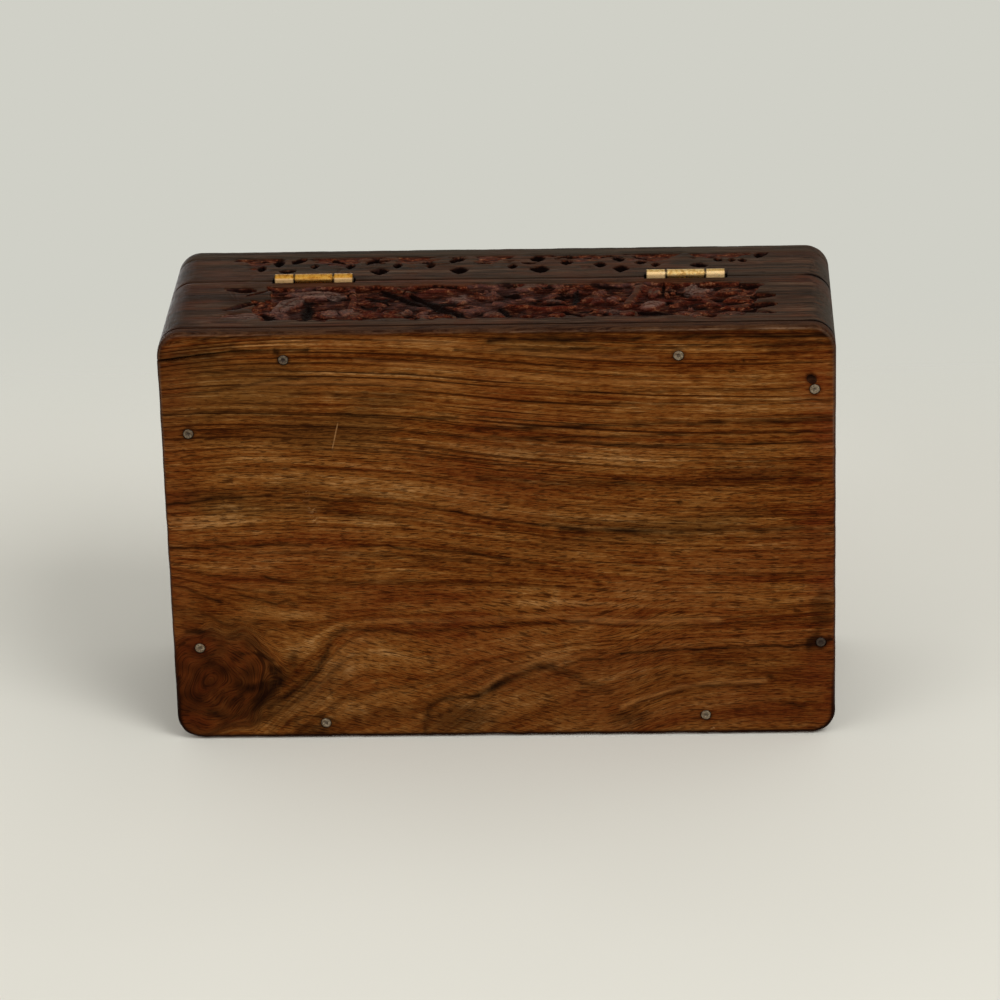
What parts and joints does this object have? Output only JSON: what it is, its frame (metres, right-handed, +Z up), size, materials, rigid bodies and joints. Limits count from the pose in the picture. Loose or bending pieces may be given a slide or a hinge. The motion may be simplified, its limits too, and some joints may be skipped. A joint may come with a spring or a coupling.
{
  "type": "trinket box",
  "caption": "Low rectangular hardwood trinket box with rounded corners and a deep hinged lid, joined by small brass butt hinges at the back.",
  "frame": {"origin": "centre of the base board's underside", "axes": "+X along the box, to its right seen from the front; +Y from the front to the hinged back; +Z up, with the lid on top"},
  "size_m": [0.203, 0.1362, 0.073],
  "materials": {
    "base_wood": "sanded and oiled hardwood",
    "carved_wood": "dark waxed hardwood",
    "brass": "plain stamped brass",
    "steel": "dull wire-nail steel"
  },
  "bodies": {
    "body": {"base_board": "base_wood", "front_wall": "carved_wood", "back_wall": "carved_wood", "left_wall": "carved_wood", "right_wall": "carved_wood", "base_nail_1": "steel", "base_nail_2": "steel", "base_nail_3": "steel", "base_nail_4": "steel", "base_nail_5": "steel", "base_nail_6": "steel", "base_nail_7": "steel", "base_nail_8": "steel", "left_hinge_body_leaf": "brass", "left_hinge_pin": "brass", "left_hinge_body_screw_1": "brass", "left_hinge_body_screw_2": "brass", "right_hinge_body_leaf": "brass", "right_hinge_pin": "brass", "right_hinge_body_screw_1": "brass", "right_hinge_body_screw_2": "brass"},
    "lid": {"lid_board": "carved_wood", "lid_front_rim": "carved_wood", "lid_back_rim": "carved_wood", "lid_left_rim": "carved_wood", "lid_right_rim": "carved_wood", "left_hinge_lid_leaf": "brass", "left_hinge_lid_screw_1": "brass", "left_hinge_lid_screw_2": "brass", "right_hinge_lid_leaf": "brass", "right_hinge_lid_screw_1": "brass", "right_hinge_lid_screw_2": "brass"}
  },
  "joints": [
    {"name": "lid_hinge", "type": "hinge", "parent": "body", "child": "lid", "pos_m": [0, 0.0677, 0.04455], "axis": [-1, 0, 0], "range_deg": [0, 180]}
  ]
}
